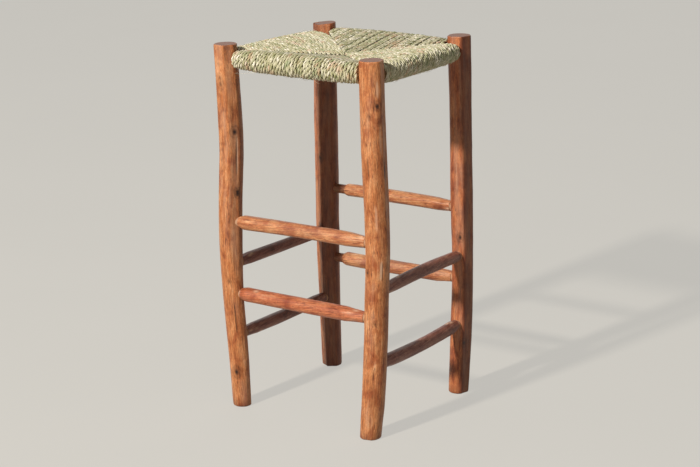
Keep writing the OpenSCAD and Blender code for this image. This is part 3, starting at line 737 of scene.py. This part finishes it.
seat = dict(
    cordD=5.9, railD=29, gap=0.3, turns=42, firstGap=0.9, seamGap=1.0, swell=1.02,
    plyR=1.7, plyOut=1.27, twist=20, step=2.7, sides=8, thickMost=1.17, thickPitch=6.05,
    diveR=2.6, diveDown=3.5, diveTurn=78, seamRoom=0.6, lowLap=0.3, edgeReach=90,
)
railStick = dict(endR=9, tipR=8.4, mostR=14.4, room=3.3, rings=51, sides=28, grainR=14.5)
# For each field, in millimetres and degrees: up and under are the slopes of its two layers; slim is how much
# slimmer the winding is at each end and over what length, drop how far it lies lower at its first end and over
# what length, bulge how far it swells at mid length; hole is how far the upper turns beside each leg stop short
# of the seam and over how many turns; bunch is how closely the turns bunch, lap how far they lap the seam, edge
# how far the upper layer stands up or lies low there, puff and sag how far the stuffing lifts it and it sags,
# fan how far the turns fan out round each leg; part is where turns part, as turn number and extra room before
# it, and frays counts the loose ends of leaf.
fields = [
    dict(name="cordFront", node="weave_front", rail="rail_front", legs=(0, 1), z=railZ, up=7.7, under=1.6,
         seed=11, slim=((4.2, 34), (1.2, 26)), drop=(1.4, 40), bulge=2.6, hole=((60, 4.4), (4, 2)), bunch=0.25,
         lap=-3, edge=-5.5, puff=1.6, sag=3, fan=(0, 4), part=((23, 2.4), (9, 0.8)), frays=120),
    dict(name="cordRight", node="weave_right", rail="rail_right", legs=(1, 2), z=sideRailZ, up=6.1, under=2.5,
         seed=12, slim=((1.5, 20), (3, 24)), drop=(0, 1), bulge=0.5, hole=((4, 2), (3, 2)), bunch=0.25,
         lap=0.3, edge=1.2, puff=2.4, sag=0, fan=(0, 1), part=((14, 0.6),), frays=110),
    dict(name="cordBack", node="weave_back", rail="rail_back", legs=(2, 3), z=railZ, up=7.7, under=1.6,
         seed=13, slim=((3.6, 30), (4.2, 32)), drop=(0, 1), bulge=0.4, hole=((3, 2), (4, 2)), bunch=1.3,
         lap=-1.6, edge=-0.6, puff=2.2, sag=0, fan=(2, 2), part=(), frays=110),
    dict(name="cordLeft", node="weave_left", rail="rail_left", legs=(3, 0), z=sideRailZ, up=6.1, under=2.5,
         seed=14, slim=((5.6, 34), (2.6, 24)), drop=(0, 1), bulge=0.3, hole=((4, 2), (60, 0.65)), bunch=0.3,
         lap=0.3, edge=1, puff=2.4, sag=0, fan=(2, 0), part=(), frays=110),
]
wrapR = seat["railD"] / 2 + seat["gap"] + seat["cordD"] / 2
seatMiddle = [sum(poleAxis(k, railZ)[j] for k in range(4)) / 4 for j in (0, 1)]


def fieldFrame(field):
    # a field's own axes: +X along its rail, +Y to the middle of the seat; the rail's length, the seat's middle,
    # and where the turns start beside each leg
    a, b = field["legs"]
    start = Vector((*poleAxis(a, field["z"]), field["z"]))
    end = Vector((*poleAxis(b, field["z"]), field["z"]))
    along = math.atan2(end.y - start.y, end.x - start.x)
    matrix = Matrix.Translation(start) @ Matrix.Rotation(along, 4, "Z")
    middle = matrix.inverted() @ Vector((*seatMiddle, field["z"]))
    sides = [poleR(k, railZ) * seat["swell"] + seat["firstGap"] for k in (a, b)]
    return matrix, (end - start).length, (middle.x, middle.y), sides


def wrapAt(field, x, length, sides):
    # radius of the winding at one place along its rail
    w = wrapR + field["bulge"] * math.sin(math.pi * min(1, max(0, x / length)))
    for (slim, over), d in zip(field["slim"], (x - sides[0], length - sides[1] - x)):
        w -= slim * math.exp(-max(0, d) / over)
    return w


def dropAt(field, x, sides):
    # how far the winding lies lower than its rail's height there
    drop, over = field["drop"]
    return drop * math.exp(-max(0, x - sides[0]) / over)


def polar(c, r, angle):
    return c[0] + r * math.cos(angle), c[1] + r * math.sin(angle)


def between(p, q, t):
    return mix(p[0], q[0], t), mix(p[1], q[1], t)


def turnRoute(field, x, length, centre, w, short):
    # one turn of cord in the plane square to its rail, as lines and arcs from the seam above round the rail to
    # the seam below; each piece is its length and a function that gives, for a share of that length, the point
    # (y, z) and the outward normal's angle
    up, under = math.radians(field["up"]), math.radians(field["under"])
    cx, reach = centre
    back = seat["seamGap"] / 2 * math.hypot(cx, reach) / (length / 2)
    seam = min(x / cx, (length - x) / (length - cx)) * reach - back - seat["seamRoom"]
    topSeam, lowSeam = seam + field["lap"] - short, seam + seat["lowLap"]
    rd, down = seat["diveR"], seat["diveDown"]
    top = (w * math.sin(up), w * math.cos(up))
    low = (w * math.sin(under), -w * math.cos(under))
    sTop = max(0.5, (topSeam - rd - top[0]) / math.cos(up))
    sLow = max(0.5, (lowSeam - rd - low[0]) / math.cos(under))
    dive = math.radians(seat["diveTurn"])
    edge = field["edge"] * min(1, sTop / seat["edgeReach"])
    topEnd = (top[0] + sTop * math.cos(up), top[1] - sTop * math.sin(up) + edge)
    lowEnd = polar(low, sLow, under)
    nTop, nLow = math.pi / 2 - up, -math.pi / 2 + under  # direction of the outward normal of each layer
    cTop, cLow = polar(topEnd, -rd, nTop), polar(lowEnd, -rd, nLow)
    pieces = []

    def arc(c, r, start, sweep):
        pieces.append((abs(r * sweep), lambda s: (*polar(c, r, start + sweep * s), start + sweep * s)))

    def line(p, q, normal):
        pieces.append((math.dist(p, q), lambda s: (*between(p, q, s), normal)))

    tipN = nTop - dive
    tip = polar(cTop, rd, tipN)
    line(polar(tip, down, tipN - math.pi / 2), tip, tipN)
    arc(cTop, rd, tipN, dive)
    share = min(1, sTop / reach)

    def overTop(s):
        rise = share * (field["puff"] * math.sin(math.pi * s * s) - field["sag"] * math.sin(math.pi * s))
        return (*polar(between(topEnd, top, s), rise, nTop), nTop)

    pieces.append((sTop, overTop))
    arc((0, 0), w, nTop, math.pi + up + under)
    line(low, lowEnd, nLow + 2 * math.pi)
    arc(cLow, rd, nLow + 2 * math.pi, dive)
    endN = nLow + dive + 2 * math.pi
    end = polar(cLow, rd, endN)
    line(end, polar(end, down, endN + math.pi / 2), endN)
    return pieces


def routePoints(pieces, step):
    # points a step apart along the pieces of a turn, each (y, z, normal, distance from the start)
    total = sum(p[0] for p in pieces)
    count = max(20, round(total / step))
    points = []
    for j in range(count + 1):
        s, k = total * j / count, 0
        while k < len(pieces) - 1 and s > pieces[k][0]:
            s -= pieces[k][0]
            k += 1
        points.append((*pieces[k][1](min(1, s / max(pieces[k][0], 1e-9))), total * j / count))
    return points


# Loose leaf that stands out in the photograph, as points in millimetres: threads under the front band beside
# the front left leg, two ends hanging under its middle, a tuft on the left field, a reddish one on the right
looseEnds = [
    dict(field="cordFront", r=0.42, tone=0.8, pink=0.1,
         points=[(-86, -157, 703), (-92, -160, 701.3), (-108, -161.5, 698.5), (-128, -163, 696),
                 (-147, -163.5, 694.5), (-156, -160, 694)]),
    dict(field="cordFront", r=0.38, tone=0.9, pink=0.0,
         points=[(-60, -156, 704), (-70, -158, 701), (-88, -160, 699.5), (-104, -161.5, 699.2),
                 (-122, -163, 699.8)]),
    dict(field="cordFront", r=0.5, tone=0.85, pink=0.0,
         points=[(-4, -158, 703), (2, -161, 699.5), (8, -162, 697.5), (14, -161, 697.2)]),
    dict(field="cordFront", r=0.4, tone=0.7, pink=0.3,
         points=[(36, -157, 703), (42, -161, 699), (46, -162, 696), (54, -161, 694)]),
    dict(field="cordLeft", r=0.75, tone=0.75, pink=0.6,
         points=[(-108, -99, 733), (-103, -95, 737), (-99, -90, 739), (-94, -86, 736)]),
    dict(field="cordLeft", r=0.6, tone=0.9, pink=0.4,
         points=[(-104, -101, 733), (-101, -94, 738.5), (-103, -88, 740), (-107, -83, 737)]),
    dict(field="cordRight", r=0.9, tone=0.6, pink=0.95,
         points=[(148, -42, 735), (154, -38, 739.5), (160, -33, 741), (165, -29, 741), (170, -26, 738)]),
    dict(field="cordRight", r=0.8, tone=0.55, pink=0.9,
         points=[(150, -22, 735), (157, -26, 740), (163, -31, 741.2), (169, -35, 739.5)]),
]


def leafThread(bm, tint, points, r, tone, pink):
    # one thin loose thread of leaf on a smooth curve through its points, in metres; r is in millimetres
    rings, sides = 7, 4

    def at(t):
        spot = t * (len(points) - 1)
        n = min(int(spot), len(points) - 2)
        a, b, c, d = (points[max(0, min(len(points) - 1, n + m))] for m in (-1, 0, 1, 2))
        w = spot - n
        return 0.5 * (2 * b + (c - a) * w + (2 * a - 5 * b + 4 * c - d) * w * w
                      + (3 * b - a - 3 * c + d) * w ** 3)

    def place(ring, sideNo):
        t = ring / (rings - 1)
        run = (at(min(1, t + 0.05)) - at(max(0, t - 0.05))).normalized()
        across = run.cross(Vector((0.3, 0.2, 0.93))).normalized()
        above = across.cross(run)
        turn = sideNo * math.pi / 2
        wide = r * (1 - 0.6 * t)
        return at(t) + (across * math.cos(turn) + above * 0.6 * math.sin(turn)) * wide * mm

    def mark(v, ring, sideNo):
        v[tint] = (tone, pink, 0, 0)

    tube(bm, sides, rings, place, mark)


def addFrays(bm, tint, field, matrix, length, centre, side):
    # short ends of leaf that stick out of the winding, mostly along the cord, all round it
    rng = random.Random(field["seed"] + 50)
    for _ in range(field["frays"]):
        x = rng.uniform(side[0] + 4, length - side[1] - 4)
        w = wrapAt(field, x, length, side)
        points = routePoints(turnRoute(field, x, length, centre, w, 0), 3)
        j = rng.randrange(8, len(points) - 16)
        way, reach = rng.choice((-1, 1)), rng.uniform(7, 22)
        rise, drift = rng.uniform(0.02, 0.2), rng.uniform(-0.7, 0.7)
        spots = []
        for m in range(5):
            # the thread leaves the cord, follows the curve of the winding and stands off it more and more
            t = m / 4
            y, z, normal, s = points[max(0, min(len(points) - 1, j + round(way * reach * t / 3)))]
            off = 2.1 + 0.5 * t + reach * rise * math.sin(0.75 * math.pi * t)
            spots.append(Vector((x + drift * reach * t + rng.uniform(-0.4, 0.4), *polar((y, z), off, normal))))
        leafThread(bm, tint, [matrix @ p * mm for p in spots], rng.uniform(0.28, 0.5), rng.uniform(0.45, 1.0),
                   max(0, rng.uniform(-0.5, 0.6)))
    for loose in looseEnds:
        if loose["field"] == field["name"]:
            spots = [Vector(p) * mm for p in loose["points"]]
            leafThread(bm, tint, spots, loose["r"], loose["tone"], loose["pink"])


def makeField(field):
    rng = random.Random(field["seed"])
    matrix, length, centre, side = fieldFrame(field)
    turns = seat["turns"]
    pitch = (length - side[0] - side[1]) / turns
    full = min(seat["thickMost"], pitch / seat["thickPitch"])
    # the turns lie in bunches of one to four with a gap between two bunches
    shifts, n = [], 0
    while n < turns:
        bunch = min(turns - n, rng.choice((1, 2, 2, 3, 3, 4)))
        squeeze = (pitch - seat["cordD"] + 0.35) * field["bunch"] * rng.uniform(0.6, 1.1)
        shifts += [((bunch - 1) / 2 - m) * squeeze for m in range(bunch)]
        n += bunch
    for at, room in field["part"]:
        for n in range(turns):
            off = n + 0.5 - at
            shifts[n] += math.copysign(room / 2, off) * math.exp(-abs(off) / 2.5)
    bm = bmesh.new()
    tint = bm.verts.layers.float_color.new("tint")
    uv = bm.loops.layers.uv.verify()
    sides = seat["sides"]
    for n in range(turns):
        x = side[0] + (n + 0.5) * pitch
        edge = min(1.0, min(n, turns - 1 - n) / 3)
        shift = (shifts[n] + rng.uniform(-0.25, 0.25)) * edge
        thick = full * (1 + rng.uniform(-0.07, 0.1))
        # the twist is looser in some stretches of the winding than in others
        twist = seat["twist"] * (1.12 + 0.6 * noiseAt(n / 5, field["seed"], 0.5)) * rng.uniform(0.88, 1.14)
        swing = rng.uniform(0, 100)
        lift = rng.uniform(-0.5, 0.3)
        short = sum(deep * math.exp(-(m / over) ** 2)
                    for (deep, over), m in zip(field["hole"], (n, turns - 1 - n)))
        fan = field["fan"][1] * math.exp(-(turns - 1 - n) / 2.5) - field["fan"][0] * math.exp(-n / 2.5)
        w = wrapAt(field, x, length, side)
        drop = dropAt(field, x, side)
        points = routePoints(turnRoute(field, x, length, centre, w, short), seat["step"])
        phase = rng.uniform(0, 2 * math.pi)
        turnTone = rng.gauss(0.54, 0.05)
        for ply in (0, 1):
            plyTone = turnTone + rng.gauss(0, 0.06)
            plyThick = thick * rng.uniform(0.93, 1.06)
            seed = rng.uniform(0, 500)

            def axis(j):
                y, z, normal, s = points[j]
                wob = noiseAt(swing, s / 34, 0.0)
                bob = noiseAt(swing + 40, s / 22, 3.0)
                nx = Vector((0, math.cos(normal), math.sin(normal)))
                sideways = shift + 0.85 * wob * edge + fan * smooth(-y / wrapR)
                c = Vector((x + sideways, y, z - drop)) + nx * (lift * 0.6 + 0.35 * bob)
                theta = phase + ply * math.pi + 2 * math.pi * s / twist + 1.7 * noiseAt(swing, s / 40, 9.0)
                return c, nx, theta, s

            frames = [axis(j) for j in range(len(points))]

            def place(ring, sideNo):
                c, nx, theta, s = frames[ring]
                bx = Vector((1, 0, 0))
                out = nx * math.cos(theta) - bx * math.sin(theta)
                across = nx * -math.sin(theta) - bx * math.cos(theta)
                r = seat["plyR"] * plyThick * (1 + 0.3 * noiseAt(seed, s / 7, 1.0))
                alpha = sideNo * 2 * math.pi / sides
                tip = 0.5 if ring in (0, len(frames) - 1) else 1
                outward = seat["plyOut"] * thick + r * 0.96 * math.cos(alpha) * tip
                return (matrix @ (c + out * outward + across * r * 1.13 * math.sin(alpha) * tip)) * mm

            def mark(v, ring, sideNo):
                s = frames[ring][3]
                alpha = sideNo * 2 * math.pi / sides
                # painted shade on the inner side of each strand, where the two strands meet
                inner = max(0.0, -math.cos(alpha)) ** 1.5
                # each length of leaf that was twisted in has its own tone; some are reddish, some still green
                tone = (plyTone + 0.5 * noiseAt(seed, s / 11, 5.0)
                        + 0.22 * noiseAt(seed, s / 4, 8.0 + sideNo / 2))
                rosy = 1.5 * noiseAt(n / 3.5, s / 32, field["seed"]) + 1.3 * noiseAt(seed, s / 19, 14.0) - 0.4
                green = 1.8 * noiseAt(seed, s / 24, 24.0) - 0.3
                # painted shade: dark where the turn goes down into the seam, and further beside a hole
                seam = smooth((5.2 + 0.1 * min(short, 35) - min(s, frames[-1][3] - s)) / 2)
                v[tint] = (min(1, max(0, tone)), min(0.55, max(0, rosy)), min(0.96, 0.38 * inner + seam),
                           min(0.7, max(0, green)))

            index, faces, caps = tube(bm, sides, len(frames), place, mark)
            for f in faces:
                for loop in f.loops:
                    if f in caps:
                        loop[uv].uv = (seed, 0)
                    else:
                        u, ring = loop[uv].uv
                        loop[uv].uv = (u * 1.3 * mm + seed, frames[round(ring)][3] * mm + seed)
    addFrays(bm, tint, field, matrix, length, centre, side)
    piece = meshObject(field["name"], bm, [cordMaterial], [field["node"]])
    print(field["name"], len(piece.data.polygons), "faces")


def makeRail(i, field):
    # the stick inside one side of the seat, whittled to its round ends as the winding needs
    matrix, length, centre, side = fieldFrame(field)
    a, b = (poleR(k, field["z"]) * seat["swell"] + seat["gap"] for k in field["legs"])
    endR, tipR, last = railStick["endR"], railStick["tipR"], railStick["rings"] - 1
    rows = [(a - 12, tipR), (a - 11, endR), (a - 0.1, endR)]
    for j in range(last + 1):
        x = mix(a, length - b, j / last)
        inside = wrapAt(field, x, length, side) - dropAt(field, x, side) - railStick["room"]
        rows.append((x, min(railStick["mostR"], inside)))
    rows += [(length - b + 0.1, endR), (length - b + 11, endR), (length - b + 12, tipR)]
    bm = bmesh.new()
    grain = bm.verts.layers.float_vector.new("grain")
    sides, grainR = railStick["sides"], railStick["grainR"] * mm

    def place(ring, sideNo):
        x, r = rows[ring]
        turn = sideNo * 2 * math.pi / sides
        r -= 0.25 * (1 + noiseAt(math.cos(turn) * 2 + 5 * i, math.sin(turn) * 2, x / 40))
        return (matrix @ Vector((x, r * math.cos(turn), r * math.sin(turn)))) * mm

    def mark(v, ring, sideNo):
        turn = sideNo * 2 * math.pi / sides
        v[grain] = (grainR * math.cos(turn) + i, grainR * math.sin(turn), rows[ring][0] * mm)

    tube(bm, sides, len(rows), place, mark)
    meshObject("stick" + field["name"][4:] + "Rail", bm, [railMaterial], [field["rail"]])


for i, field in enumerate(fields):
    makeField(field)
    makeRail(i, field)
print("woven seat done")


# Stuffing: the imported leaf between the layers, lumpy where the CAD solid is plain

padding = dict(edge=0.009, merge=0.00002, lump=0.0009)  # metres


def makeStuffing(name, node, field):
    matrix, length, centre, side = fieldFrame(field)
    inverse = matrix.inverted()
    bm = bmesh.new()
    bm.from_mesh(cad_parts[node].data)
    bmesh.ops.remove_doubles(bm, verts=bm.verts, dist=padding["merge"])
    for _ in range(4):
        longEdges = [e for e in bm.edges if e.calc_length() > padding["edge"]]
        if longEdges:
            bmesh.ops.subdivide_edges(bm, edges=longEdges, cuts=1)
            bmesh.ops.triangulate(bm, faces=[f for f in bm.faces if len(f.verts) > 3])
    bmesh.ops.smooth_vert(bm, verts=bm.verts, factor=0.5, use_axis_x=True, use_axis_y=True, use_axis_z=True)
    bm.normal_update()
    for v in bm.verts:
        lump = noise.noise(v.co * 90) + 0.5 * noise.noise(v.co * 260)
        v.co -= v.normal * padding["lump"] * (1 + lump)
        # where the winding is slimmer, so is what it holds
        p = inverse @ (v.co / mm)
        inside = wrapAt(field, p.x, length, side) - seat["gap"] - seat["cordD"] / 2
        p.z *= min(1, inside / (seat["railD"] / 2))
        v.co = (matrix @ p) * mm
    for f in bm.faces:
        f.smooth = True
    bmesh.ops.recalc_face_normals(bm, faces=bm.faces)
    piece = meshObject(name, bm, [leafMaterial], [node])


for field in fields:
    side = field["rail"][5:]
    makeStuffing("leafPad" + side.capitalize(), "stuffing_" + side, field)
print("stuffing done")

bpy.context.view_layer.update()
